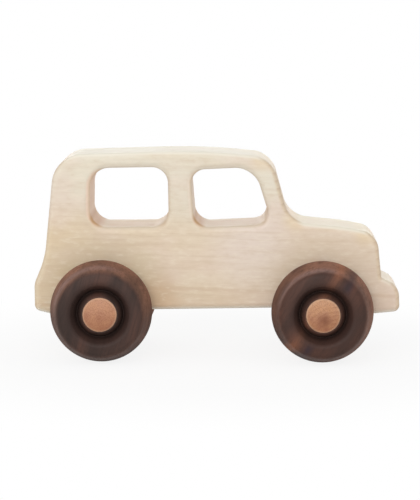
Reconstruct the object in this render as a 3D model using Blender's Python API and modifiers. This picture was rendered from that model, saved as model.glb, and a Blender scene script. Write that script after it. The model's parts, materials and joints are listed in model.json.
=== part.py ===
"""Wooden toy car: a plank body with two windows, two dowel axles and four turned wheels.

Metres, +Z up. +X points to the front of the car and -Y is the side nearest the viewer.
The origin lies on the ground, under the middle of the car.
"""

import math

import bmesh
import bpy

# Body plank
BODY_LENGTH = 0.1712
BODY_THICKNESS = 0.038
EDGE_ROUND = 0.0021
CORNER_EASE = 0.001  # what the tightest outside corners have beyond the edge rounding

# Body heights, measured up from the underside between the wheels
UNDERSIDE_DROP = 0.0004  # underside below the axle centre
BUMPER_DROP = 0.0007  # bumper corners below the underside
REAR_BUMPER_RISE = 0.0117
TAILGATE_FOOT_RISE = 0.0238
SILL_RISE = 0.0383
ROOF_RISE = 0.0722
ROOF_CROWN = 0.0024
ROOF_FRONT_DROP = 0.0011
COWL_RISE = 0.0412
HOOD_RISE = 0.0386
HOOD_LIP_RISE = 0.036
NOSE_FOOT_RISE = 0.0149
FRONT_BUMPER_RISE = 0.011

# Body lengths, measured in from the rear end or back from the front end
TAILGATE_SETBACK = 0.005
TAILGATE_LEAN = 0.0047
CROWN_SETBACK = 0.0781
FRONT_BUMPER_DEPTH = 0.0088
NOSE_LEAN = 0.002
HOOD_BREAK = 0.0169  # nose foot to where the hood starts to fall
HOOD_LENGTH = 0.0431
WINDSCREEN_RAKE = math.radians(15.7)

# Radii of the outline
REAR_BUMPER_RADIUS = 0.0085
TAILGATE_RADIUS = 0.035
ROOF_REAR_RADIUS = 0.0155
ROOF_CROWN_RADIUS = 0.24
ROOF_FRONT_RADIUS = 0.013
COWL_RADIUS = 0.0122
HOOD_RADIUS = 0.09
HOOD_LIP_RADIUS = 0.0096
NOSE_FOOT_RADIUS = 0.0012
FRONT_BUMPER_RADIUS = 0.0095

# Windows
REAR_POST = 0.0199  # tailgate to rear window, at the sill
MIDDLE_POST = 0.0125
MIDDLE_POST_SHIFT = 0.0003  # forward of the middle between rear post and front pillar
MIDDLE_POST_LEAN = 0.0022
FRONT_PILLAR = 0.0086  # windscreen to front window, at the sill
FRONT_PILLAR_TAPER = 0.0009
ROOF_RAIL = 0.0059  # wood over the rear window, below the rear roof corner
FRONT_RAIL_DROP = 0.001
FRONT_WINDOW_TILT = 0.0017
WINDOW_RADIUS = 0.0082
FRONT_WINDOW_RADIUS = 0.007
WINDSCREEN_WINDOW_RADIUS = 0.0116

# Axle bosses under the plank
BOSS_WALL = 0.0048
BOSS_SLOPE = math.radians(45)
BOSS_FILLET = 0.006
REAR_UNDERSIDE_SLOPE = math.radians(13.3)
FRONT_UNDERSIDE_SLOPE = math.radians(5.7)

# Axles
REAR_OVERHANG = 0.032  # rear end to rear axle
FRONT_OVERHANG = 0.0365  # front axle to front end
AXLE_DIAMETER = 0.0159
AXLE_CLEARANCE = 0.0003  # round the dowel in its bore
AXLE_PROUD = 0.0006  # dowel end beyond the hub
AXLE_END_ROUND = 0.0007

# Wheels; depths are measured in from the crest of the outer face
WHEEL_DIAMETER = 0.0476
WHEEL_WIDTH = 0.0208
WHEEL_GAP = 0.001  # wheel to plank
GLUE_LINE = 0.0003  # round the dowel in the wheel
TREAD_SETBACK = 0.008  # widest circle, from the inner face
INNER_EDGE = 0.0036  # widest circle to the inner face, along the radius
SHOULDER = 0.0042  # crest to the widest circle, along the radius
GROOVE_LIP_DEPTH = 0.0004
GROOVE_WALL = 0.0033  # bottom of the groove to its lip, along the radius
GROOVE_DEPTH = 0.006
HUB_SLOPE = 0.0019  # hub to the bottom of the groove, along the radius
HUB_WALL = 0.0006
HUB_DEPTH = 0.0006
HUB_EDGE_ROUND = 0.0003

# Fineness of the round shapes
ROUND_SIDES = 40
ARC_STEP = math.radians(9)
LEAST_ARC_STEPS = 2
EDGE_STEPS = 2
SHOULDER_STEPS = 5
INNER_EDGE_STEPS = 3
WELD = 0.00001
SMOOTH_ANGLE = math.radians(35)

# Finishes: colour, roughness
MAPLE = ((0.72, 0.60, 0.43), 0.5)
WALNUT = ((0.085, 0.048, 0.036), 0.45)
CHERRY = ((0.44, 0.21, 0.12), 0.55)

half_length = BODY_LENGTH / 2
facet_turn = math.pi / ROUND_SIDES
# The wheels stand on a flat of their facets.
axle_height = WHEEL_DIAMETER / 2 * math.cos(facet_turn)
underside = axle_height - UNDERSIDE_DROP
rear_axle_x = REAR_OVERHANG - half_length
front_axle_x = half_length - FRONT_OVERHANG
boss_radius = AXLE_DIAMETER / 2 + AXLE_CLEARANCE + BOSS_WALL
# The sloping sides of a boss meet here, under its round bottom.
boss_apex = axle_height - boss_radius / math.cos(BOSS_SLOPE)
tight_radius = EDGE_ROUND + CORNER_EASE


def clear_scene():
    for obj in list(bpy.data.objects):
        bpy.data.objects.remove(obj, do_unlink=True)


def new_collection(name):
    collection = bpy.data.collections.new(name)
    bpy.context.scene.collection.children.link(collection)
    return collection


def new_finish(name, colour, roughness):
    finish = bpy.data.materials.new(name)
    finish.use_nodes = True
    shader = finish.node_tree.nodes["Principled BSDF"]
    shader.inputs["Base Color"].default_value = (*colour, 1)
    shader.inputs["Roughness"].default_value = roughness
    shader.inputs["Metallic"].default_value = 0
    return finish


def rounded(corners):
    """Points of a closed outline whose corners (x, z, radius) turn on tangent arcs."""
    points = []
    count = len(corners)
    for index, (x, z, radius) in enumerate(corners):
        back_x = corners[index - 1][0] - x
        back_z = corners[index - 1][1] - z
        on_x = corners[(index + 1) % count][0] - x
        on_z = corners[(index + 1) % count][1] - z
        back = math.hypot(back_x, back_z)
        on = math.hypot(on_x, on_z)
        turn = math.atan2(on_z, on_x) - math.atan2(-back_z, -back_x)
        turn = math.remainder(turn, math.tau)
        # An arc takes at most half of each side that it joins.
        reach = min(radius * math.tan(abs(turn) / 2), back / 2, on / 2)
        radius = reach / math.tan(abs(turn) / 2)
        start_x = x + back_x / back * reach
        start_z = z + back_z / back * reach
        heading = math.atan2(-back_z, -back_x)
        side = math.copysign(radius, turn)
        centre_x = start_x - side * math.sin(heading)
        centre_z = start_z + side * math.cos(heading)
        steps = max(LEAST_ARC_STEPS, math.ceil(abs(turn) / ARC_STEP))
        for step in range(steps + 1):
            along = heading + turn * step / steps
            points.append((centre_x + side * math.sin(along), centre_z - side * math.cos(along)))
    return points


def boss_side(corner_distance, corner_height, underside_slope):
    """Where a bumper's underside meets the sloping side of its boss: distance from the axle, height."""
    fall = math.tan(underside_slope)
    rise = math.tan(BOSS_SLOPE)
    distance = (corner_height - fall * corner_distance - boss_apex) / (rise - fall)
    return distance, boss_apex + rise * distance


def tailgate_x(height):
    """The tailgate's line, which leans forward as it rises."""
    foot = TAILGATE_FOOT_RISE
    return TAILGATE_SETBACK - half_length + TAILGATE_LEAN * (height - foot) / (ROOF_RISE - foot)


def windscreen_x(height):
    """The windscreen's line, which leans back as it rises."""
    cowl_x = half_length - FRONT_BUMPER_DEPTH - HOOD_LENGTH
    return cowl_x - (height - COWL_RISE) * math.tan(WINDSCREEN_RAKE)


def body_outline():
    """Corners of the plank, clockwise from the rear bumper's lower corner."""
    nose_foot = half_length - FRONT_BUMPER_DEPTH
    front_roof = ROOF_RISE - ROOF_FRONT_DROP
    boss_reach = (underside - boss_apex) / math.tan(BOSS_SLOPE)
    bumper_corner = underside - BUMPER_DROP
    rear_foot, rear_foot_height = boss_side(
        REAR_OVERHANG, bumper_corner, REAR_UNDERSIDE_SLOPE
    )
    front_foot, front_foot_height = boss_side(
        FRONT_OVERHANG, bumper_corner, FRONT_UNDERSIDE_SLOPE
    )
    above = [
        (-half_length, REAR_BUMPER_RISE, REAR_BUMPER_RADIUS),
        (tailgate_x(TAILGATE_FOOT_RISE), TAILGATE_FOOT_RISE, TAILGATE_RADIUS),
        (tailgate_x(ROOF_RISE), ROOF_RISE, ROOF_REAR_RADIUS),
        (CROWN_SETBACK - half_length, ROOF_RISE + ROOF_CROWN, ROOF_CROWN_RADIUS),
        (windscreen_x(front_roof), front_roof, ROOF_FRONT_RADIUS),
        (windscreen_x(COWL_RISE), COWL_RISE, COWL_RADIUS),
        (nose_foot - HOOD_BREAK, HOOD_RISE, HOOD_RADIUS),
        (nose_foot - NOSE_LEAN, HOOD_LIP_RISE, HOOD_LIP_RADIUS),
        (nose_foot, NOSE_FOOT_RISE, NOSE_FOOT_RADIUS),
        (half_length, FRONT_BUMPER_RISE, FRONT_BUMPER_RADIUS),
    ]
    below = [
        (half_length, bumper_corner, tight_radius),
        (front_axle_x + front_foot, front_foot_height, BOSS_FILLET),
        (front_axle_x, boss_apex, boss_radius),
        (front_axle_x - boss_reach, underside, BOSS_FILLET),
        (rear_axle_x + boss_reach, underside, BOSS_FILLET),
        (rear_axle_x, boss_apex, boss_radius),
        (rear_axle_x - rear_foot, rear_foot_height, BOSS_FILLET),
        (-half_length, bumper_corner, tight_radius),
    ]
    return [(x, underside + rise, radius) for x, rise, radius in above] + below


def window_ends():
    """Where each window starts and ends at the sill: the middle post parts the room between them."""
    rear = tailgate_x(SILL_RISE) + REAR_POST
    front = windscreen_x(SILL_RISE + FRONT_WINDOW_TILT) - FRONT_PILLAR
    middle = (rear + front) / 2 + MIDDLE_POST_SHIFT
    return (rear, middle - MIDDLE_POST / 2), (middle + MIDDLE_POST / 2, front)


def rear_window_outline():
    rear, front = window_ends()[0]
    sill = underside + SILL_RISE
    head = underside + ROOF_RISE - ROOF_RAIL
    corners = ((rear, sill), (rear, head), (front, head), (front, sill))
    return [(x, z, WINDOW_RADIUS) for x, z in corners]


def front_window_outline():
    rear, front_sill = window_ends()[1]
    head_rise = ROOF_RISE - ROOF_RAIL - FRONT_RAIL_DROP
    front_sill_rise = SILL_RISE + FRONT_WINDOW_TILT
    front_head_rise = head_rise + FRONT_WINDOW_TILT
    front_head = windscreen_x(front_head_rise) - FRONT_PILLAR - FRONT_PILLAR_TAPER
    return [
        (rear, underside + SILL_RISE, FRONT_WINDOW_RADIUS),
        (rear - MIDDLE_POST_LEAN, underside + head_rise, FRONT_WINDOW_RADIUS),
        (front_head, underside + front_head_rise, WINDSCREEN_WINDOW_RADIUS),
        (front_sill, underside + front_sill_rise, FRONT_WINDOW_RADIUS),
    ]


def plank_curve(outlines):
    """The plank as a filled curve with rounded edges, stood up on its side."""
    curve = bpy.data.curves.new("plank", "CURVE")
    curve.dimensions = "2D"
    curve.fill_mode = "BOTH"
    curve.extrude = BODY_THICKNESS / 2 - EDGE_ROUND
    curve.bevel_depth = EDGE_ROUND
    curve.bevel_resolution = EDGE_STEPS
    curve.offset = -EDGE_ROUND
    for outline in outlines:
        points = rounded(outline)
        spline = curve.splines.new("POLY")
        spline.points.add(len(points) - 1)
        for point, (x, z) in zip(spline.points, points):
            point.co = (x, z, 0, 1)
        spline.use_cyclic_u = True
    plank = bpy.data.objects.new("plank", curve)
    plank.rotation_euler.x = math.pi / 2
    return plank


def mesh_from_curve(name, curve_object, collection):
    """A mesh object in the curve's place, with its caps welded on. The curve is removed."""
    collection.objects.link(curve_object)
    bpy.context.view_layer.update()
    graph = bpy.context.evaluated_depsgraph_get()
    mesh = bpy.data.meshes.new_from_object(curve_object.evaluated_get(graph))
    welded = bmesh.new()
    welded.from_mesh(mesh)
    bmesh.ops.remove_doubles(welded, verts=welded.verts, dist=WELD)
    bmesh.ops.recalc_face_normals(welded, faces=welded.faces)
    welded.to_mesh(mesh)
    welded.free()
    mesh.name = name
    obj = bpy.data.objects.new(name, mesh)
    obj.matrix_world = curve_object.matrix_world
    collection.objects.link(obj)
    bpy.data.objects.remove(curve_object)
    return obj


def round_bar(name, diameter, length, collection):
    """A faceted cylinder across the car, about its own origin, with a flat at the bottom."""
    mesh = bpy.data.meshes.new(name)
    bar = bmesh.new()
    bmesh.ops.create_cone(
        bar,
        cap_ends=True,
        segments=ROUND_SIDES,
        radius1=diameter / 2,
        radius2=diameter / 2,
        depth=length,
    )
    bar.to_mesh(mesh)
    bar.free()
    obj = bpy.data.objects.new(name, mesh)
    obj.rotation_euler = (math.pi / 2, facet_turn, 0)
    collection.objects.link(obj)
    return obj


def add_body(finish, parts, cutters):
    outlines = (body_outline(), rear_window_outline(), front_window_outline())
    body = mesh_from_curve("body", plank_curve(outlines), parts)
    body.data.materials.clear()
    body.data.materials.append(finish)
    body.data.shade_smooth()
    body.data.set_sharp_from_angle(angle=SMOOTH_ANGLE)
    bore = AXLE_DIAMETER + 2 * AXLE_CLEARANCE
    for name, x in (("rear_bore", rear_axle_x), ("front_bore", front_axle_x)):
        # Twice the plank's thickness, so that the bore runs out of both faces.
        cutter = round_bar(name, bore, 2 * BODY_THICKNESS, cutters)
        cutter.location = (x, 0, axle_height)
        cutter.hide_render = True
        cutter.display_type = "WIRE"
        cut = body.modifiers.new(name, "BOOLEAN")
        cut.operation = "DIFFERENCE"
        cut.object = cutter


def wheel_profile():
    """Half section of a wheel as (radius, height): hub, groove, dish, crest, tread, inner face."""
    wheel_radius = WHEEL_DIAMETER / 2
    crest_radius = wheel_radius - SHOULDER
    inner_radius = wheel_radius - INNER_EDGE
    bore_radius = AXLE_DIAMETER / 2 + GLUE_LINE
    hub_radius = bore_radius + HUB_WALL
    hub_height = WHEEL_WIDTH - HUB_DEPTH
    groove_radius = hub_radius + HUB_SLOPE
    groove_height = WHEEL_WIDTH - GROOVE_DEPTH
    lip_radius = groove_radius + GROOVE_WALL
    lip_height = WHEEL_WIDTH - GROOVE_LIP_DEPTH
    dish_radius = (lip_radius + crest_radius) / 2
    dish_height = WHEEL_WIDTH - GROOVE_LIP_DEPTH / 2
    groove_wall = (groove_radius + lip_radius) / 2
    points = [
        (bore_radius, hub_height),
        (hub_radius - HUB_EDGE_ROUND, hub_height),
        (hub_radius, hub_height - HUB_EDGE_ROUND),
        ((hub_radius + groove_radius) / 2, (hub_height + groove_height) / 2),
        (groove_radius, groove_height),
        (groove_wall, (groove_height + lip_height) / 2),
        (lip_radius, lip_height),
        (dish_radius, dish_height),
    ]
    # The outer shoulder and the inner edge are quarters of ellipses that meet at the widest circle.
    for step in range(SHOULDER_STEPS + 1):
        angle = math.pi / 2 * step / SHOULDER_STEPS
        radius = crest_radius + (wheel_radius - crest_radius) * math.sin(angle)
        height = TREAD_SETBACK + (WHEEL_WIDTH - TREAD_SETBACK) * math.cos(angle)
        points.append((radius, height))
    for step in range(1, INNER_EDGE_STEPS + 1):
        angle = math.pi / 2 * step / INNER_EDGE_STEPS
        radius = inner_radius + (wheel_radius - inner_radius) * math.cos(angle)
        points.append((radius, TREAD_SETBACK * (1 - math.sin(angle))))
    points.append((bore_radius, 0))
    return points


def wheel_mesh(finish):
    """The wheel's half section as a closed loop, which a Screw modifier turns."""
    mesh = bpy.data.meshes.new("wheel_section")
    section = bmesh.new()
    corners = [section.verts.new((radius, 0, height)) for radius, height in wheel_profile()]
    for start, end in zip(corners, corners[1:] + corners[:1]):
        section.edges.new((start, end))
    section.to_mesh(mesh)
    section.free()
    mesh.materials.append(finish)
    return mesh


def add_wheel(name, mesh, side, wheelset, parts):
    """A wheel on its axle; side is -1 on the right of the car (-Y) and 1 on the left."""
    wheel = bpy.data.objects.new(name, mesh)
    wheel.parent = wheelset
    wheel.location.y = side * (BODY_THICKNESS / 2 + WHEEL_GAP)
    wheel.rotation_euler = (-side * math.pi / 2, facet_turn, 0)
    turned = wheel.modifiers.new("turned", "SCREW")
    turned.axis = "Z"
    turned.angle = math.tau
    turned.screw_offset = 0
    turned.steps = ROUND_SIDES
    turned.render_steps = ROUND_SIDES
    turned.use_merge_vertices = True
    turned.merge_threshold = WELD
    turned.use_smooth_shade = True
    parts.objects.link(wheel)


def add_axle(name, finish, wheelset, parts):
    """A dowel through the plank and both wheels, with its ends eased."""
    hub_face = BODY_THICKNESS / 2 + WHEEL_GAP + WHEEL_WIDTH - HUB_DEPTH
    axle = round_bar(name, AXLE_DIAMETER, 2 * (hub_face + AXLE_PROUD), parts)
    axle.parent = wheelset
    axle.data.materials.append(finish)
    axle.data.shade_smooth()
    axle.data.set_sharp_from_angle(angle=SMOOTH_ANGLE)
    eased = axle.modifiers.new("eased", "BEVEL")
    eased.width = AXLE_END_ROUND
    eased.segments = EDGE_STEPS
    eased.limit_method = "ANGLE"
    eased.angle_limit = SMOOTH_ANGLE


def add_wheelset(end, x, section, finish, parts):
    """One axle and its two wheels, on an empty that lies on the turning axis."""
    wheelset = bpy.data.objects.new(end + "_wheelset", None)
    wheelset.location = (x, 0, axle_height)
    parts.objects.link(wheelset)
    add_axle(end + "_axle", finish, wheelset, parts)
    for hand, side in (("right", -1), ("left", 1)):
        add_wheel(f"{end}_{hand}_wheel", section, side, wheelset, parts)


def main():
    clear_scene()
    parts = new_collection("wooden_toy_car")
    cutters = new_collection("cutters")
    add_body(new_finish("maple", *MAPLE), parts, cutters)
    section = wheel_mesh(new_finish("walnut", *WALNUT))
    dowel = new_finish("cherry", *CHERRY)
    add_wheelset("rear", rear_axle_x, section, dowel, parts)
    add_wheelset("front", front_axle_x, section, dowel, parts)


main()
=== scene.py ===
import json
import math

import bmesh
import bpy
from mathutils import Matrix, Vector


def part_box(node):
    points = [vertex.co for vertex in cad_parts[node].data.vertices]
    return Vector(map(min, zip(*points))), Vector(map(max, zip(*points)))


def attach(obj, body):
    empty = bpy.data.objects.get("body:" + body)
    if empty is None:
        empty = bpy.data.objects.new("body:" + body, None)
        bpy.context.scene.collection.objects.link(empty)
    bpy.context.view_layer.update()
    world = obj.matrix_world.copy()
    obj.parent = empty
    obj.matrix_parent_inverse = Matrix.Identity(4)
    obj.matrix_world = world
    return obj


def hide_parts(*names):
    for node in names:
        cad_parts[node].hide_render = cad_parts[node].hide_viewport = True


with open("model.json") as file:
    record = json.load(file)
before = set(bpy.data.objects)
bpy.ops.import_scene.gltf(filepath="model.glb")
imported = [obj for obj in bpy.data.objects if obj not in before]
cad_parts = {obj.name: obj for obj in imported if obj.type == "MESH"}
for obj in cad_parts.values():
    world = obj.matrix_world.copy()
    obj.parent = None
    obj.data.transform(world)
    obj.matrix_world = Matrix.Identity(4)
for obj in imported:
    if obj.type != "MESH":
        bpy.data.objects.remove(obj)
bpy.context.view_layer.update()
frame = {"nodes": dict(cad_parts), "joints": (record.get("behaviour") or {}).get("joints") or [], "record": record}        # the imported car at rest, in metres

mm = 0.001  # the pieces and their figure are given in millimetres
print("frame:", ", ".join(sorted(frame["nodes"])))


# Shading: one socket with maths on it, and a method for every other node

class Wire:
    def __init__(self, tree, socket=None):
        self.tree = tree
        self.socket = socket

    def node(self, kind, settings=None, values=None, out=0):
        made = self.tree.nodes.new("ShaderNode" + kind)
        for name, value in (settings or {}).items():
            if name == "stops":  # a ramp's list of (place, colour)
                while len(made.color_ramp.elements) < len(value):
                    made.color_ramp.elements.new(1)
                for stop, (place, colour) in zip(made.color_ramp.elements, value):
                    stop.position = place
                    stop.color = colour
            else:
                setattr(made, name, value)
        for name, value in (values or {}).items():
            if isinstance(value, Wire):
                self.tree.links.new(value.socket, made.inputs[name])
            else:
                made.inputs[name].default_value = value
        return Wire(self.tree, made.outputs[out])

    def math(self, operation, *values):
        return self.node("Math", {"operation": operation}, dict(enumerate(values)))

    def __add__(self, other):
        return self.math("ADD", self, other)

    __radd__ = __add__

    def __sub__(self, other):
        return self.math("SUBTRACT", self, other)

    def __rsub__(self, other):
        return self.math("SUBTRACT", other, self)

    def __mul__(self, other):
        return self.math("MULTIPLY", self, other)

    __rmul__ = __mul__

    def __truediv__(self, other):
        return self.math("DIVIDE", self, other)

    def __abs__(self):
        return self.math("ABSOLUTE", self)

    def vector(self, operation, *others, out=0):
        return self.node("VectorMath", {"operation": operation}, dict(enumerate((self,) + others)), out)

    def length(self):
        return self.vector("LENGTH", out="Value")

    def part(self, axis):
        return self.node("SeparateXYZ", None, {0: self}, axis)

    def between(self, start, end, share=1):  # 0 at start, eased to share at end, which may be the lower
        values = {"Value": self, "From Min": start, "From Max": end, "To Max": share}
        return self.node("MapRange", {"interpolation_type": "SMOOTHSTEP"}, values)

    def hill(self, start, top, edge, end, share=1):  # share from top to edge, eased to 0 on both sides
        return self.between(start, top, share) * self.between(end, edge)

    def swing(self, share):  # a noise of 0 to 1, about 0
        return (self - 0.5) * share

    def into(self, one, two):  # colour one where this is 0, colour two where it is 1
        return self.node("Mix", {"data_type": "RGBA"}, {0: self, 6: one, 7: two}, out=2)

    def feed(self, shader, name):
        self.tree.links.new(self.socket, shader.inputs[name])


def tone(red, green, blue):  # an sRGB colour as a shader takes it
    def linear(value):
        value = value / 255
        return value / 12.92 if value <= 0.04045 else ((value + 0.055) / 1.055) ** 2.4

    return (linear(red), linear(green), linear(blue), 1)


def laid(place, size, centre=(0, 0, 0), turn=(0, 0, 0)):  # texture space, with the size of one unit
    values = {"Vector": place, "Location": centre, "Rotation": turn, "Scale": size}
    return place.node("Mapping", {"vector_type": "TEXTURE"}, values)


def millimetres(place, centre=(0, 0, 0), turn=(0, 0, 0)):
    return laid(place, (mm, mm, mm), centre, turn)


def fromAxis(place, centre):  # millimetres from a line that runs across the car
    return millimetres(place, centre).vector("MULTIPLY", (1, 0, 1)).length()


def noise(place, size, centre=(0, 0, 0), turn=(0, 0, 0), detail=2, roughness=0.5, distortion=0):
    values = {
        "Vector": laid(place, size, centre, turn),
        "Scale": 1,
        "Detail": detail,
        "Roughness": roughness,
        "Distortion": distortion,
    }
    return place.node("TexNoise", None, values)


def waves(place, kind, values, size, centre=(0, 0, 0), turn=(0, 0, 0)):
    return place.node("TexWave", kind, {"Vector": laid(place, size, centre, turn), **values}, out="Fac")


def newFinish(name):
    finish = bpy.data.materials.new(name)
    finish.use_nodes = True
    return finish, Wire(finish.node_tree), finish.node_tree.nodes["Principled BSDF"]


def feedFinish(shader, wood, colour, roughness, relief):
    colour.feed(shader, "Base Color")
    roughness.feed(shader, "Roughness")
    strength, depth = wood["relief"]
    values = {"Height": relief, "Strength": strength, "Distance": depth * mm}
    relief.node("Bump", None, values).feed(shader, "Normal")
    shader.inputs["Specular IOR Level"].default_value = wood["specular"]


# Building

building = {
    "mergeWithin": 0.002,
    "arcShare": 0.495,  # the most of a side that one corner's arc takes up
    "arcSteps": 3,      # the fewest steps of an arc
}


def roundCorner(bm, corner, amount, kind, steps):
    bmesh.ops.bevel(
        bm,
        geom=[corner],
        offset=amount,
        offset_type=kind,
        segments=steps,
        profile=0.5,
        affect="VERTICES",
        clamp_overlap=False,
        material=-1,
    )


def cornerLine(bm, corners, closed=True):  # a wire of (across, up) points in the XZ plane
    points = [bm.verts.new((across, 0, up)) for across, up in corners]
    following = points[1:] + points[:1] if closed else points[1:]
    for here, on in zip(points, following):
        bm.edges.new((here, on))
    return points


def roundedLoop(bm, corners, arcStep):  # a closed one, with an arc of its own radius at each corner
    points = cornerLine(bm, [(across * mm, up * mm) for across, up, radius in corners])
    bends = []
    for point, (across, up, radius) in zip(points, corners):
        back, on = (edge.other_vert(point).co - point.co for edge in point.link_edges)
        turn = math.pi - back.angle(on)
        longest = min(back.length, on.length) * building["arcShare"]
        reach = min(radius * mm * math.tan(turn / 2), longest)
        bends.append((point, reach, max(building["arcSteps"], math.ceil(turn / arcStep))))
    for point, reach, steps in bends:
        roundCorner(bm, point, reach, "ABSOLUTE", steps)


def spinRound(bm, steps):  # a full turn about Z
    bmesh.ops.spin(
        bm,
        geom=bm.verts[:] + bm.edges[:],
        cent=(0, 0, 0),
        axis=(0, 0, 1),
        angle=math.tau,
        steps=steps,
        use_merge=True,
    )


def newPiece(name, bm, finish, body, node):
    bmesh.ops.remove_doubles(bm, verts=bm.verts, dist=building["mergeWithin"] * mm)
    bmesh.ops.recalc_face_normals(bm, faces=bm.faces)
    mesh = bpy.data.meshes.new(name)
    bm.to_mesh(mesh)
    bm.free()
    mesh.shade_smooth()
    mesh.materials.append(finish)
    piece = bpy.data.objects.new(name, mesh)
    bpy.context.scene.collection.objects.link(piece)
    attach(piece, body)
    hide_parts(node)
    print("piece:", name, len(mesh.polygons), "faces")
    return piece


# The plank

plank = {
    "edgeRound": 3.0,
    "edgeSteps": 9,
    "arcStep": math.radians(4),
    "sharpFrom": math.radians(40),
    "boreRadius": 8.25,
    "boreSides": 64,
    "outline": [  # along the car, up, radius
        (-85.4, 22.6, 3.1),    # rear bumper, lower corner
        (-85.55, 35.0, 8.5),
        (-80.6, 47.1, 36.0),   # foot of the tailgate
        (-75.9, 95.5, 14.5),   # roof, rear corner
        (-7.5, 97.7, 240.0),   # crown of the roof
        (25.3, 94.6, 12.3),    # head of the windscreen
        (33.8, 64.5, 12.2),    # cowl
        (59.9, 62.0, 90.0),
        (74.7, 59.1, 9.2),     # lip of the hood
        (76.8, 38.4, 1.2),     # foot of the nose
        (85.0, 34.6, 9.5),
        (85.55, 22.7, 3.1),    # front bumper, lower corner
        (63.9, 20.5, 6.0),
        (49.1, 5.3, 13.0),     # front axle boss
        (31.4, 24.1, 6.0),     # underside, between the bosses
        (-35.9, 22.9, 6.0),
        (-53.6, 5.3, 13.0),    # rear axle boss
        (-65.9, 18.0, 6.0),
    ],
    "rearWindow": [
        (-59.4, 61.6, 8.4),
        (-59.0, 89.3, 8.9),
        (-23.1, 90.0, 7.6),
        (-22.5, 62.0, 7.8),
    ],
    "frontWindow": [
        (-10.4, 61.5, 7.8),
        (-12.6, 88.6, 6.7),
        (17.2, 90.1, 11.7),
        (25.6, 63.4, 6.6),
    ],
}

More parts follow.
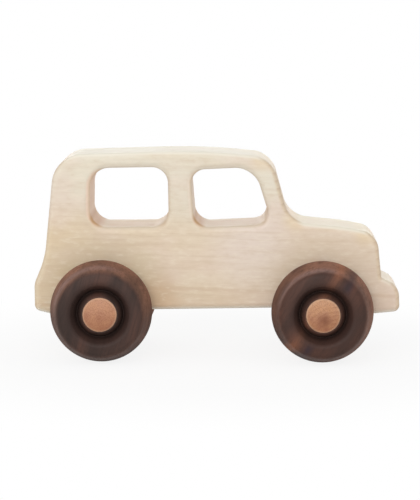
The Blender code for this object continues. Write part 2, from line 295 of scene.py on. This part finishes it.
maple = {
    # the ramp's darkening towards the lower edge is painted shade
    "ramp": [  # up the plank, from its warm lower edge to the pale roof: share of rampTop, colour
        (0.24, tone(215, 193, 166)),
        (0.36, tone(225, 208, 184)),
        (0.60, tone(227, 210, 187)),
        (0.70, tone(227, 217, 199)),
        (0.95, tone(228, 220, 202)),
    ],
    "rampTop": 100,
    "rampWander": 0.12,
    "tones": {
        "warm": tone(221, 200, 168),
        "rose": tone(226, 204, 190),
        "pink": tone(229, 215, 206),
        # painted shadow of the rear wheel on the plank
        "tan": tone(204, 166, 128),
        # painted shade around the wheels
        "wheelShade": tone(188, 172, 134),
        # grain streaks, also used for painted shade on the tops and the rear roof corner
        "streakAndShade": tone(204, 180, 150),
        "ring": tone(200, 168, 138),
        # the roof and hood tops, paler: painted light
        "roof": tone(238, 233, 216),
        "hood": tone(228, 223, 197),
        "pale": tone(238, 226, 207),
        "endGrain": tone(226, 204, 175),
        # the windows' rear walls, paler than the plank: painted light
        "rearWall": tone(250, 226, 209),
        "frontWall": tone(250, 238, 224),
        "burnish": tone(228, 204, 162),
        "paintedLight": tone(248, 241, 225),
        # painted shade in the windows' lower corners
        "cornerShade": tone(194, 149, 102),
    },
    "clouds": {"size": (60, 20, 14), "turn": (0, 0.06, 0), "detail": 3},
    "blush": {"size": (30, 20, 20), "centre": (300, 0, 0)},
    "streaks": {"size": (26, 2, 1.5), "turn": (0, 0.02, 0), "detail": 3},
    "flecks": {"size": (4, 2, 1.4), "centre": (100, 0, 0)},
    "threads": {"size": (6, 0.3, 0.22), "turn": (0, 0.015, 0), "detail": 3, "roughness": 0.6},
    "rings": {  # growth rings, cut lengthwise
        "kind": {"wave_type": "BANDS", "bands_direction": "Z", "wave_profile": "SIN"},
        "values": {"Scale": 0.32, "Distortion": 3.5, "Detail": 3, "Detail Scale": 0.8},
        "size": (90, 8.5, 8.5),
        "turn": (0.5, 0.03, 0),
    },
    "arcs": {  # and cut across
        "kind": {"wave_type": "RINGS", "rings_direction": "X", "wave_profile": "SAW"},
        "values": {"Scale": 0.9, "Distortion": 1.2, "Detail": 2, "Detail Scale": 0.6},
        "size": (10, 10, 10),
        "centre": (0, 6, -25),
    },
    "spots": [  # colour, middle, and the mark by the distance from it
        ("pink", (16, 0, 54), (26, 6, 0.5)),          # under the windscreen
        # painted shadow of the rear wheel
        ("tan", (-29, 0, 29), (17, 2, 0.55)),         # beside the rear wheel
        ("burnish", (21.5, 0, 94.5), (8.5, 1, 0.5)),  # corners rubbed yellow
        ("burnish", (36.5, 0, 66), (8.5, 1, 0.5)),
        ("burnish", (69.5, 0, 59.5), (8.5, 1, 0.5)),
    ],
    # painted shade on the plank around each wheel
    "wheelShadeShare": {"rear_axle_spin": 0.35, "front_axle_spin": 0.2},  # darker towards the wheels
    "marks": {  # where each mark starts, where it is full and, if not 1, its share
        "clouds": (0.4, 0.75, 0.3),        # by the noise
        "blush": (0.45, 0.7, 0.4),
        "streaks": (0.45, 0.8),
        "threads": (0.55, 0.8, 0.22),
        "darkFlecks": (0.5, 0.75, 0.22),
        "paleFlecks": (0.5, 0.25, 0.3),
        "rings": (0.86, 1.0),
        "arcs": (0.45, 1.0, 0.35),
        "underWindows": (82, 62),          # by the height
        "aboveAxles": (26, 44),
        "lowRings": (40, 28, 0.2),
        "aboveSills": (50, 56),
        "underRoof": (85, 70),
        "roof": (86, 91, 0.5),
        "tail": (-45, -75, 0.35),          # by the place along the car
        "rearHalf": (10, -50, 0.25),
        "frontHalf": (-20, 30, 0.3),
        "behindPillar": (10, 0),
        "frontWall": (-40, -20),
        "pastWindows": (24, 32),
        "hood": (30, 40, 0.45),
        "outer": (8, 16.5),                # by the place across it
        "nearWheel": (40, 24),             # by the distance from an axle
        "ahead": (0.2, 0.65),              # by the normal along the car
        "behind": (-0.4, -0.9),
        "rearCorner": (-0.15, -0.6, 0.6),
        "level": (-0.8, -0.3, 0.15, 0.5),  # a hill
        "square": (0.4, 0.1),              # by the normal across it
        "rims": (0.05, 0.5, 0.6, 0.98),    # a hill
        "turningUp": (0.35, 0.8, 0.6),     # by the normal upwards
        "lowTops": (0.5, 0.95),
        "tops": (0.6, 0.98),
        "paleTops": (0.4, 0.85, 0.3),
        "cornerTop": (0.2, 0.6),
        "sillRims": (0.1, 0.6, 0.6),
        "underRims": (-0.1, -0.6, 0.2),
        "cornerShade": (0.05, 0.5, 0.85),
    },
    "shares": {
        "streaks": 0.2,
        "streaksBelow": 0.18,  # more of them under the windows
        "rings": 0.06,
        "endGrain": 0.7,
        "walls": 0.8,
        "lowTops": 0.35,
        "lessOnHood": 0.2,
        "rims": 0.6,
        "wallRims": 0.3,
        "roughStreaks": 0.2,
        "roughEnds": 0.15,
        "raisedStreaks": 0.6,
        "raisedThreads": 0.4,
    },
    "roughness": 0.52,
    "relief": (0.12, 0.2),  # strength, height
    "specular": 0.3,
}


def mapleFinish():
    tones = maple["tones"]
    marks = maple["marks"]
    shares = maple["shares"]
    finish, wire, shader = newFinish("maple")
    place = wire.node("TexCoord", out="Object")
    inPlace = millimetres(place)
    forward, depth, height = (inPlace.part(axis) for axis in "XYZ")
    normal = wire.node("TexCoord", out="Normal")
    along, across, upward = (normal.part(axis) for axis in "XYZ")
    side = abs(across)
    clouds = noise(inPlace, **maple["clouds"])
    blush = noise(inPlace, **maple["blush"])
    streaks = noise(inPlace, **maple["streaks"])
    flecks = noise(inPlace, **maple["flecks"])
    threads = noise(inPlace, **maple["threads"])
    rings = waves(inPlace, **maple["rings"])
    arcs = waves(inPlace, **maple["arcs"])

    # the broad colours of the side, with painted shade low down, beside the rear wheel and around the
    # wheels
    up = height / maple["rampTop"] + clouds.swing(maple["rampWander"])
    colour = wire.node("ValToRGB", {"stops": maple["ramp"]}, {0: up})
    below = height.between(*marks["underWindows"])
    tail = forward.between(*marks["tail"]) + forward.between(*marks["rearHalf"])
    colour = (clouds.between(*marks["clouds"]) + tail * below).into(colour, tones["warm"])
    rosy = blush.between(*marks["blush"]) + forward.between(*marks["frontHalf"]) * below
    colour = rosy.into(colour, tones["rose"])
    for name, middle, mark in maple["spots"]:
        colour = fromAxis(place, Vector(middle) * mm).between(*mark).into(colour, tones[name])
    # painted shade on the plank around the wheels, above the axles
    for joint in frame["joints"]:
        around = fromAxis(place, joint["pos_m"]).between(*marks["nearWheel"])
        share = height.between(*marks["aboveAxles"]) * maple["wheelShadeShare"][joint["name"]]
        colour = (around * share).into(colour, tones["wheelShade"])

    # the lines of the grain
    share = below * shares["streaksBelow"] + shares["streaks"]
    colour = (streaks.between(*marks["streaks"]) * share).into(colour, tones["streakAndShade"])
    share = height.between(*marks["lowRings"]) + shares["rings"]
    colour = (rings.between(*marks["rings"]) * share).into(colour, tones["ring"])
    colour = threads.between(*marks["threads"]).into(colour, tones["streakAndShade"])
    colour = flecks.between(*marks["darkFlecks"]).into(colour, tones["streakAndShade"])
    colour = flecks.between(*marks["paleFlecks"]).into(colour, tones["pale"])

    # end grain, and the windows' rear walls, painted paler (painted light) and pinker
    ahead = along.between(*marks["ahead"])
    behind = along.between(*marks["behind"]) * side.between(*marks["square"])
    ends = (ahead + behind) * (1 - upward.between(*marks["turningUp"]))
    colour = (ends * shares["endGrain"]).into(colour, tones["endGrain"])
    colour = (ends * arcs.between(*marks["arcs"])).into(colour, tones["ring"])
    walls = ahead * forward.between(*marks["behindPillar"]) * height.between(*marks["aboveSills"])
    wallTone = forward.between(*marks["frontWall"]).into(tones["rearWall"], tones["frontWall"])
    colour = (walls * shares["walls"]).into(colour, wallTone)

    # sills and other tops below the roof painted darker (painted shade), less on the hood; the roof and
    # hood tops paler (painted light); and the roof's rear corner painted darker (painted shade)
    underRoof = height.between(*marks["underRoof"])
    onHood = forward.between(*marks["pastWindows"])
    share = shares["lowTops"] - onHood * shares["lessOnHood"]
    colour = (upward.between(*marks["lowTops"]) * underRoof * share).into(colour, tones["streakAndShade"])
    tops = upward.between(*marks["tops"])
    colour = (tops * height.between(*marks["roof"])).into(colour, tones["roof"])
    colour = (tops * forward.between(*marks["hood"])).into(colour, tones["hood"])
    corner = along.between(*marks["rearCorner"]) * upward.between(*marks["cornerTop"])
    colour = corner.into(colour, tones["streakAndShade"])

    # paler towards the rims: painted light; burnish on the windows' walls at their rims, and painted
    # shade in their lower corners
    level = along.hill(*marks["level"])
    outer = abs(depth).between(*marks["outer"])
    # painted light on the tops near the faces and on the rims
    colour = (upward.between(*marks["paleTops"]) * outer * level).into(colour, tones["paintedLight"])
    rims = side.hill(*marks["rims"])
    sillRims = upward.between(*marks["sillRims"]) * underRoof * (1 - onHood)
    share = shares["rims"] + upward.between(*marks["underRims"]) - sillRims
    colour = (rims * level * share).into(colour, tones["paintedLight"])
    colour = (rims * walls * shares["wallRims"]).into(colour, tones["burnish"])
    # painted shade in the lower corners of the windows' rear walls
    colour = (walls * upward.between(*marks["cornerShade"])).into(colour, tones["cornerShade"])
    roughness = maple["roughness"] + streaks.swing(shares["roughStreaks"]) + ends * shares["roughEnds"]
    relief = streaks * shares["raisedStreaks"] + threads * shares["raisedThreads"]
    feedFinish(shader, maple, colour, roughness, relief)
    return finish


def addPlank():
    low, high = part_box("body")
    edge = plank["edgeRound"] * mm
    depth = high.y - low.y - 2 * edge  # between the rounded rims
    bm = bmesh.new()
    for outline in ("outline", "rearWindow", "frontWindow"):
        roundedLoop(bm, plank[outline], plank["arcStep"])
    standing = Matrix.Rotation(math.pi / 2, 4, "X")
    bores = []
    for joint in frame["joints"]:
        made = bmesh.ops.create_circle(
            bm,
            segments=plank["boreSides"],
            radius=plank["boreRadius"] * mm,
            matrix=Matrix.Translation(joint["pos_m"]) @ standing,
        )
        bores.append(made["verts"])
    bmesh.ops.triangle_fill(bm, use_beauty=True, edges=bm.edges)
    for verts in bores:  # discs close the bores until the rims are rounded
        bmesh.ops.contextual_create(bm, geom=verts)
    bmesh.ops.recalc_face_normals(bm, faces=bm.faces)
    nearCap = bm.faces[:]
    bmesh.ops.translate(bm, verts=bm.verts, vec=(0, low.y + edge, 0))
    grown = bmesh.ops.extrude_face_region(bm, geom=nearCap)["geom"]
    farCap = [item for item in grown if isinstance(item, bmesh.types.BMFace)]
    farVerts = [item for item in grown if isinstance(item, bmesh.types.BMVert)]
    bmesh.ops.translate(bm, verts=farVerts, vec=(0, depth, 0))
    bmesh.ops.recalc_face_normals(bm, faces=bm.faces)
    steps = plank["edgeSteps"]
    for cap in (nearCap, farCap):  # the rim turns over in rings, each inset a little and raised a little
        for step in range(steps):
            before = math.pi / 2 * step / steps
            after = math.pi / 2 * (step + 1) / steps
            bmesh.ops.inset_region(
                bm,
                faces=cap,
                thickness=edge * (math.cos(before) - math.cos(after)),
                depth=edge * (math.sin(after) - math.sin(before)),
                use_even_offset=True,
                use_boundary=True,
            )
    discs = [face for face in bm.faces if len(face.verts) == plank["boreSides"]]
    bmesh.ops.delete(bm, geom=discs, context="FACES_ONLY")
    reach = 2 * plank["boreRadius"] * mm
    for joint in frame["joints"]:
        middle = joint["pos_m"][0]
        rims = [
            rim for rim in bm.edges
            if rim.is_boundary and abs(rim.verts[0].co.x - middle) < reach
        ]
        bmesh.ops.bridge_loops(bm, edges=rims)
    piece = newPiece("plank", bm, mapleFinish(), "body", "body")
    piece.data.set_sharp_from_angle(angle=plank["sharpFrom"])
    piece.modifiers.new("even shading", "WEIGHTED_NORMAL").keep_sharp = True


# The wheels

wheel = {  # eases are lengths, curves a percentage of the sides at a corner
    "spinSteps": 128,
    "easeSteps": 6,
    "curveSteps": 20,
    "mergeWithin": 0.02,
    "boreRadius": 7.98,
    "boreEase": 0.4,
    "innerEdge": 3.6,
    "innerCurve": 99.9,
    "treadSetback": 7.4,
    "shoulder": 4.2,
    "shoulderBulge": (1.4, 14.5),  # in from the widest circle, up from the inner face
    "bulgeCurve": 90,
    "crestDepth": 0.7,
    "crestEase": 1.8,
    "lipRadius": 14.0,
    "lipEase": 1.6,
    "grooveRadius": 10.8,
    "grooveDepth": 6.0,
    "grooveEase": 0.6,
    "hubRadius": 8.45,
    "hubDepth": 1.4,
    "hubEase": 0.4,
    "hubBoreEase": 0.15,
}

walnut = {
    "tones": {
        "brown": tone(82, 61, 54),
        "dark": tone(58, 46, 42),
        "red": tone(98, 64, 52),
        # painted light on the wheel's rim
        "rimLight": tone(158, 112, 91),
        # painted sheen on the crest
        "sheen": tone(150, 122, 116),
        "sapwood": tone(172, 112, 82),
        "stain": tone(54, 44, 51),
        "pore": tone(44, 31, 28),
        # painted shade in the groove, darkest at its foot
        "groove": tone(55, 39, 35),
        "grooveFoot": tone(22, 15, 12),
    },
    "bands": {"size": (60, 12, 9), "detail": 3, "roughness": 0.55, "distortion": 0.3},
    "streaks": {"size": (22, 1.6, 1.1), "detail": 5, "roughness": 0.6},
    "pores": {"size": (5, 0.24, 0.2)},
    "wander": {"size": (30, 12, 12)},
    "patches": {"size": (14, 9, 8), "detail": 3},
    "marks": {  # where each mark starts, where it is full and, if not 1, its share
        "bands": (0.34, 0.66),            # by the noise
        "redBands": (0.5, 0.8, 0.5),
        "patches": (0.3, 0.7, 0.5),
        "streaks": (0.45, 0.75, 0.45),
        "pores": (0.55, 0.7, 0.4),
        "deepPores": (0.6, 0.75, 0.5),
        "rim": (17, 21),                  # by the radius
        "shadedRim": (19.6, 22.4, 0.55),
        "roughRim": (20, 23, 0.2),
        "stain": (13, 17),
        "insideRim": (20.2, 18.8, 0.5),
        # painted shade in the groove
        "shadedGroove": (9.0, 10.4, 11.0, 17.6, 0.75),       # a hill
        "grooveFoot": (9.4, 10.4, 11.2, 12.4, 0.5),  # a hill
        "rimLightSide": (-8, 20, 0.65),       # by the distance to one side
        "shadedSide": (-12, -24),
        "sheenSide": (8, 20, 0.5),
        "line": (1.2, 0),                 # by the widths from a line
    },
    "shares": {
        "rimLightAround": 0.35,
        "sapwood": 0.24,
        "sapwoodRim": 0.24,  # more of it at the rim
        "stain": 0.8,
        "stainRim": 0.3,     # less of it there
        "roughStreaks": 0.25,
        "raisedStreaks": 0.5,
    },
    "seedStep": 40,            # each wheel has its own part of the noise
    "wanderReach": 3,
    "rimLightTo": 21.6,
    "sheenWide": (1.2, 1.4),  # inwards, outwards
    "stainWide": 2.8,
    "darkWide": 4.5,
    "roughness": 0.52,
    "relief": (0.15, 0.2),     # strength, height
    "specular": 0.15,
    "rear_right_wheel": {  # turns are degrees, the other places are from the middle
        "turn": 75, "seed": 2.1, "red": 0.0, "darkAt": (18,),
        "sapAt": 40.0, "sapWide": 5.0, "stainAt": -30,
        "rimLightTurn": 88, "rimLight": 0.42, "rimLightFrom": 18.5, "sheenTurn": 122, "sheenOut": 21.4,
    },
    "front_right_wheel": {
        "turn": 57, "seed": 5.3, "red": 0.45, "darkAt": (-15.5, 12),
        "sapAt": 4.0, "sapWide": 3.2, "stainAt": -2.3,
        "rimLightTurn": 48, "rimLight": 0.3, "rimLightFrom": 19.2, "sheenTurn": 122, "sheenOut": 20.7,
    },
    "rear_left_wheel": {
        "turn": 20, "seed": 8.2, "red": 0.1, "darkAt": (10,),
        "sapAt": -17.0, "sapWide": 4.0, "stainAt": -9,
        "rimLightTurn": 20, "rimLight": 0.4, "rimLightFrom": 18.5, "sheenTurn": 60, "sheenOut": 21.5,
    },
    "front_left_wheel": {
        "turn": -40, "seed": 11.4, "red": 0.15, "darkAt": (-13,),
        "sapAt": 15.0, "sapWide": 5.0, "stainAt": 8,
        "rimLightTurn": 250, "rimLight": 0.35, "rimLightFrom": 18.5, "sheenTurn": 200, "sheenOut": 21,
    },
}


def walnutFinish(name, centre):
    own = walnut[name]
    tones = walnut["tones"]
    marks = walnut["marks"]
    shares = walnut["shares"]
    finish, wire, shader = newFinish("walnut_" + name)
    place = wire.node("TexCoord", out="Object")
    turn = (0, -math.radians(own["turn"]), 0)
    inPlace = millimetres(place, centre, turn)  # along the grain, through the wheel, across the grain
    radius = fromAxis(place, centre)
    shifted = inPlace.vector("ADD", (own["seed"] * walnut["seedStep"], 0, 0))
    bands = noise(shifted, **walnut["bands"])
    streaks = noise(shifted, **walnut["streaks"])
    pores = noise(shifted, **walnut["pores"])
    patches = noise(shifted, **walnut["patches"])
    acrossGrain = inPlace.part("Z") + noise(shifted, **walnut["wander"]).swing(walnut["wanderReach"])

    def towards(angle):  # millimetres from the middle, that way round the wheel
        angle = math.radians(angle - own["turn"])
        way = (math.cos(angle), 0, math.sin(angle))
        return inPlace.vector("DOT_PRODUCT", way, out="Value")

    def line(at, wide):  # 1 along a line of the grain, fading to 0 on both sides
        return abs((acrossGrain - at) / wide).between(*marks["line"])

    # bands, and a rim painted lighter, most on one side (painted light), and darker on the other side
    # (painted shade), with a painted sheen along its crest
    colour = bands.between(*marks["bands"]).into(tones["dark"], tones["brown"])
    colour = (bands.between(*marks["redBands"]) + own["red"]).into(colour, tones["red"])
    # painted light: the rim lighter all round, most on one side
    reach = towards(own["rimLightTurn"])
    rimLight = reach.between(*marks["rimLightSide"]) + shares["rimLightAround"]
    rimLight = rimLight * radius.between(own["rimLightFrom"], walnut["rimLightTo"])
    colour = (rimLight * (patches.between(*marks["patches"]) + own["rimLight"])).into(colour, tones["rimLight"])
    # painted shade: the rim darker on the other side
    shaded = radius.between(*marks["shadedRim"]) * reach.between(*marks["shadedSide"])
    colour = shaded.into(colour, tones["pore"])
    # a painted sheen along part of the crest
    inwards, outwards = walnut["sheenWide"]
    out = own["sheenOut"]
    crest = radius.hill(out - inwards, out, out, out + outwards)
    sheen = towards(own["sheenTurn"]).between(*marks["sheenSide"])
    colour = (crest * sheen).into(colour, tones["sheen"])

    # single lines of the grain, then the fine figure, and the groove painted dark: painted shade
    rim = radius.between(*marks["rim"])
    share = shares["sapwood"] + rim * shares["sapwoodRim"]
    colour = (line(own["sapAt"], own["sapWide"]) * share).into(colour, tones["sapwood"])
    share = radius.between(*marks["stain"]) * (shares["stain"] - rim * shares["stainRim"])
    colour = (line(own["stainAt"], walnut["stainWide"]) * share).into(colour, tones["stain"])
    insideRim = radius.between(*marks["insideRim"])
    for at in own["darkAt"]:
        colour = (line(at, walnut["darkWide"]) * insideRim).into(colour, tones["dark"])
    colour = streaks.between(*marks["streaks"]).into(colour, tones["dark"])
    colour = pores.between(*marks["pores"]).into(colour, tones["pore"])
    # painted shade in the groove, darkest at its foot
    colour = radius.hill(*marks["shadedGroove"]).into(colour, tones["groove"])
    colour = radius.hill(*marks["grooveFoot"]).into(colour, tones["grooveFoot"])
    roughness = walnut["roughness"] + streaks.swing(shares["roughStreaks"])
    roughness = roughness + radius.between(*marks["roughRim"])
    relief = streaks * shares["raisedStreaks"] - pores.between(*marks["deepPores"])
    feedFinish(shader, walnut, colour, roughness, relief)
    return finish


def addWheel(name, wheelset):
    low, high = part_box(name)
    centre = (low + high) / 2
    outward = math.copysign(1, centre.y)
    radius = (high.z - low.z) / 2
    width = high.y - low.y
    bore = wheel["boreRadius"] * mm
    crest = radius - wheel["shoulder"] * mm
    grooveFoot = width - wheel["grooveDepth"] * mm
    hubTop = width - wheel["hubDepth"] * mm
    bulge, bulgeUp = wheel["shoulderBulge"]
    corners = [  # radius, height from the inner face, ease or curve
        (bore, 0, wheel["boreEase"] * mm, "ABSOLUTE"),
        (radius - wheel["innerEdge"] * mm, 0, 0, None),
        (radius, 0, wheel["innerCurve"], "PERCENT"),
        (radius, wheel["treadSetback"] * mm, 0, None),
        (radius - bulge * mm, bulgeUp * mm, wheel["bulgeCurve"], "PERCENT"),
        (crest, width - wheel["crestDepth"] * mm, wheel["crestEase"] * mm, "ABSOLUTE"),
        (wheel["lipRadius"] * mm, width, wheel["lipEase"] * mm, "ABSOLUTE"),
        (wheel["grooveRadius"] * mm, grooveFoot, wheel["grooveEase"] * mm, "ABSOLUTE"),
        (wheel["hubRadius"] * mm, hubTop, wheel["hubEase"] * mm, "ABSOLUTE"),
        (bore, hubTop, wheel["hubBoreEase"] * mm, "ABSOLUTE"),
    ]
    bm = bmesh.new()
    points = cornerLine(bm, [corner[:2] for corner in corners])
    for kind, steps in (("ABSOLUTE", wheel["easeSteps"]), ("PERCENT", wheel["curveSteps"])):
        for point, (across, up, amount, eased) in zip(points, corners):
            if eased == kind:
                roundCorner(bm, point, amount, kind, steps)
    bmesh.ops.remove_doubles(bm, verts=bm.verts, dist=wheel["mergeWithin"] * mm)
    spinRound(bm, wheel["spinSteps"])
    innerFace = Vector((centre.x, low.y if outward > 0 else high.y, centre.z))
    bm.transform(Matrix.Translation(innerFace) @ Matrix.Rotation(-outward * math.pi / 2, 4, "X"))
    newPiece("turned_" + name, bm, walnutFinish(name, centre), wheelset, name)


# The dowels

dowel = {
    "spinSteps": 96,
    "endDome": 1.3,
    "domeCurve": 95,  # percent of the sides at a corner
    "domeSteps": 14,
    "endRound": 0.4,
    "roundSteps": 6,
}

cherry = {
    "tones": {
        "mid": tone(159, 104, 77),
        "ring": tone(150, 96, 70),
        "pore": tone(134, 84, 60),
        "amber": tone(190, 136, 92),
        "smudge": tone(122, 72, 52),
        # painted highlight at the rim of the end
        "edge": tone(226, 192, 162),
    },
    "speckle": {"size": (0.35, 0.35, 0.35), "detail": 3, "roughness": 0.6},
    "blotch": {"size": (4, 4, 4)},
    "wobble": {"size": (3, 3, 3), "detail": 3},
    "marks": {  # where each mark starts, where it is full and, if not 1, its share
        # painted shade: darker towards the bottom of the end
        "low": (8.5, -9, 0.95),       # by the height from the middle
        "rings": (0.35, 1.0),         # by the growth of one ring
        "amber": (0.7, 0.3),          # by the noise
        "speckle": (0.45, 0.7, 0.6),
        "smudge": (6.5, 0.5),         # by the distance from its middle
        "edge": (6.9, 7.8, 0.35),     # by the radius
    },
    "shares": {
        "blotchAndShade": 0.8,
        "rings": 0.08,
        "nearRings": 0.3,
        "roughSpeckle": 0.2,
    },
    "stretch": (1, 0.02, 1),  # the figure hardly changes along the dowel
    "seedStep": 30,           # each dowel has its own part of the noise
    "ringWobble": 2.4,
    "ringFull": 0.3,          # of the rings' reach
    "smudgeAt": (0.5, 0, -2.2),
    "smudgeWobble": 3,
    "roughness": 0.6,
    "relief": (0.12, 0.15),   # strength, height
    "specular": 0.3,
    "rear_axle": {
        "pith": (-0.3, 0, -0.95), "ringEvery": 1.4, "ringReach": 4, "seed": 0.4,
        "light": tone(201, 150, 120), "amber": 0.3, "smudge": 0.0,
    },
    "front_axle": {
        "pith": (6.0, 0, -11.0), "ringEvery": 1.9, "ringReach": 30, "seed": 3.7,
        "light": tone(210, 162, 127), "amber": 0.5, "smudge": 0.9,
    },
}


def cherryFinish(name, centre):
    own = cherry[name]
    tones = cherry["tones"]
    marks = cherry["marks"]
    shares = cherry["shares"]
    finish, wire, shader = newFinish("cherry_" + name)
    place = wire.node("TexCoord", out="Object")
    pith = centre + Vector(own["pith"]) * mm
    fromPith = millimetres(place, pith).vector("MULTIPLY", cherry["stretch"])
    shifted = fromPith.vector("ADD", (own["seed"] * cherry["seedStep"], 0, 0))
    speckle = noise(shifted, **cherry["speckle"])
    blotch = noise(shifted, **cherry["blotch"])
    wobble = noise(shifted, **cherry["wobble"])
    distance = fromPith.length() + wobble.swing(cherry["ringWobble"])
    growth = distance / own["ringEvery"]
    growth = growth.math("FRACT", growth)

    # random blotches, and the end painted darker towards its bottom: painted shade
    level = millimetres(place, centre).part("Z")
    blotchAndShade = blotch.swing(shares["blotchAndShade"]) + level.between(*marks["low"])
    colour = blotchAndShade.into(own["light"], tones["mid"])
    full = own["ringReach"] * cherry["ringFull"]
    near = distance.between(own["ringReach"], full, shares["nearRings"])
    colour = (growth.between(*marks["rings"]) * (near + shares["rings"])).into(colour, tones["ring"])
    colour = blotch.between(*marks["amber"], own["amber"]).into(colour, tones["amber"])
    smudgeAt = centre + Vector(cherry["smudgeAt"]) * mm
    aside = fromAxis(place, smudgeAt) + wobble * cherry["smudgeWobble"]
    colour = aside.between(*marks["smudge"], own["smudge"]).into(colour, tones["smudge"])
    colour = speckle.between(*marks["speckle"]).into(colour, tones["pore"])
    # paler at the rim of the end: painted highlight
    colour = fromAxis(place, centre).between(*marks["edge"]).into(colour, tones["edge"])
    roughness = cherry["roughness"] + speckle.swing(shares["roughSpeckle"])
    feedFinish(shader, cherry, colour, roughness, speckle)
    return finish


def addDowel(name, wheelset):
    low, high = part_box(name)
    centre = (low + high) / 2
    radius = (high.x - low.x) / 2
    half = (high.y - low.y) / 2
    rim = half - dowel["endDome"] * mm
    corners = [
        (0, half),
        (radius / 2, half),
        (radius, rim),
        (radius, -rim),
        (radius / 2, -half),
        (0, -half),
    ]
    bm = bmesh.new()
    _, domeNear, rimNear, rimFar, domeFar, _ = cornerLine(bm, corners, closed=False)
    for point in (rimNear, rimFar):
        roundCorner(bm, point, dowel["endRound"] * mm, "ABSOLUTE", dowel["roundSteps"])
    for point in (domeNear, domeFar):  # a curve from the middle to the rim
        roundCorner(bm, point, dowel["domeCurve"], "PERCENT", dowel["domeSteps"])
    spinRound(bm, dowel["spinSteps"])
    bm.transform(Matrix.Translation(centre) @ Matrix.Rotation(math.pi / 2, 4, "X"))
    newPiece("dowel_" + name, bm, cherryFinish(name, centre), wheelset, name)


# The studio: places in metres, turns in degrees

studio = {
    "cameraAt": (0.0129, -1.0615, 0.1815),
    "cameraTilt": (82.89, -0.11, 0.901),
    "lens": 162.3,
    "sensor": 36,
    "clipStart": 0.05,
    "floorSize": 8,
    "floorAt": -0.02 * mm,      # just under the wheels
    "floorTone": (0.85, 0.95),  # as the light bounces, as it is seen
    "floorShows": 0.14,
    "shadowReach": (0.2, 0.09),
    "white": (1, 1, 1, 1),
    "worldStrength": 0.62,
}

lamps = {
    "front": {"at": (-0.3, -1.4, 0.7), "aim": (0, 0, 0.05), "size": (1.1, 0.8), "watts": 10.5},
    "back": {"at": (0.1, 1.4, 0.2), "aim": (0, 0, 0.05), "size": (1.6, 0.35), "watts": 7.5},
}


def addCamera():
    camera = bpy.data.cameras.new("camera")
    camera.lens = studio["lens"]
    camera.sensor_width = studio["sensor"]
    camera.clip_start = studio["clipStart"]
    holder = bpy.data.objects.new("camera", camera)
    holder.location = studio["cameraAt"]
    holder.rotation_euler = [math.radians(turn) for turn in studio["cameraTilt"]]
    bpy.context.scene.collection.objects.link(holder)
    bpy.context.scene.camera = holder


def addLamp(name, at, aim, size, watts):
    lamp = bpy.data.lights.new(name, "AREA")
    lamp.shape = "RECTANGLE"
    lamp.size, lamp.size_y = size
    lamp.energy = watts
    holder = bpy.data.objects.new(name, lamp)
    holder.location = at
    holder.rotation_euler = (Vector(aim) - Vector(at)).to_track_quat("-Z", "Y").to_euler()
    bpy.context.scene.collection.objects.link(holder)


def seenDirectly(wire):  # 1 for what the camera sees, straight or in a gloss or through glass
    seen = wire.node("LightPath", out="Is Camera Ray")
    for ray in ("Is Glossy Ray", "Is Transmission Ray"):
        seen = seen.math("MAXIMUM", seen, wire.node("LightPath", out=ray))
    return seen


def addFloor():
    bm = bmesh.new()
    bmesh.ops.create_grid(bm, x_segments=1, y_segments=1, size=studio["floorSize"])
    bmesh.ops.translate(bm, verts=bm.verts, vec=(0, 0, studio["floorAt"]))
    mesh = bpy.data.meshes.new("floor")
    bm.to_mesh(mesh)
    bm.free()
    floor = bpy.data.objects.new("floor", mesh)
    bpy.context.scene.collection.objects.link(floor)
    finish, wire, shader = newFinish("white_floor")
    shader.inputs["Roughness"].default_value = 1
    shader.inputs["Specular IOR Level"].default_value = 0
    bounced, shown = studio["floorTone"]
    seen = seenDirectly(wire)
    seen.into((bounced, bounced, bounced, 1), (shown, shown, shown, 1)).feed(shader, "Base Color")
    lit = Wire(wire.tree, shader.outputs[0])
    glow = wire.node("Emission", None, {"Color": studio["white"], "Strength": 1})
    away = wire.node("TexCoord", out="Object").length()
    near = away.between(*studio["shadowReach"], studio["floorShows"])  # fades into plain white
    mixed = wire.node("MixShader", None, {0: seen * (1 - near), 1: lit, 2: glow})
    mixed.feed(wire.tree.nodes["Material Output"], "Surface")
    mesh.materials.append(finish)


def addWorld():
    world = bpy.data.worlds.new("studio")
    bpy.context.scene.world = world
    world.use_nodes = True
    wire = Wire(world.node_tree)
    strength = studio["worldStrength"]
    level = strength + seenDirectly(wire) * (1 - strength)
    glow = wire.node("Background", None, {"Color": studio["white"], "Strength": level})
    glow.feed(wire.tree.nodes["World Output"], "Surface")


addCamera()
addPlank()
for joint in frame["joints"]:
    wheelset = joint["child"]
    for node in frame["record"]["behaviour"]["bodies"][wheelset]:
        if node.endswith("_axle"):
            addDowel(node, wheelset)
        else:
            addWheel(node, wheelset)
addFloor()
addWorld()
for name, lamp in lamps.items():
    addLamp(name, **lamp)
bpy.context.scene.view_settings.view_transform = "Standard"
print("studio: camera, floor, world and", len(lamps), "lamps")
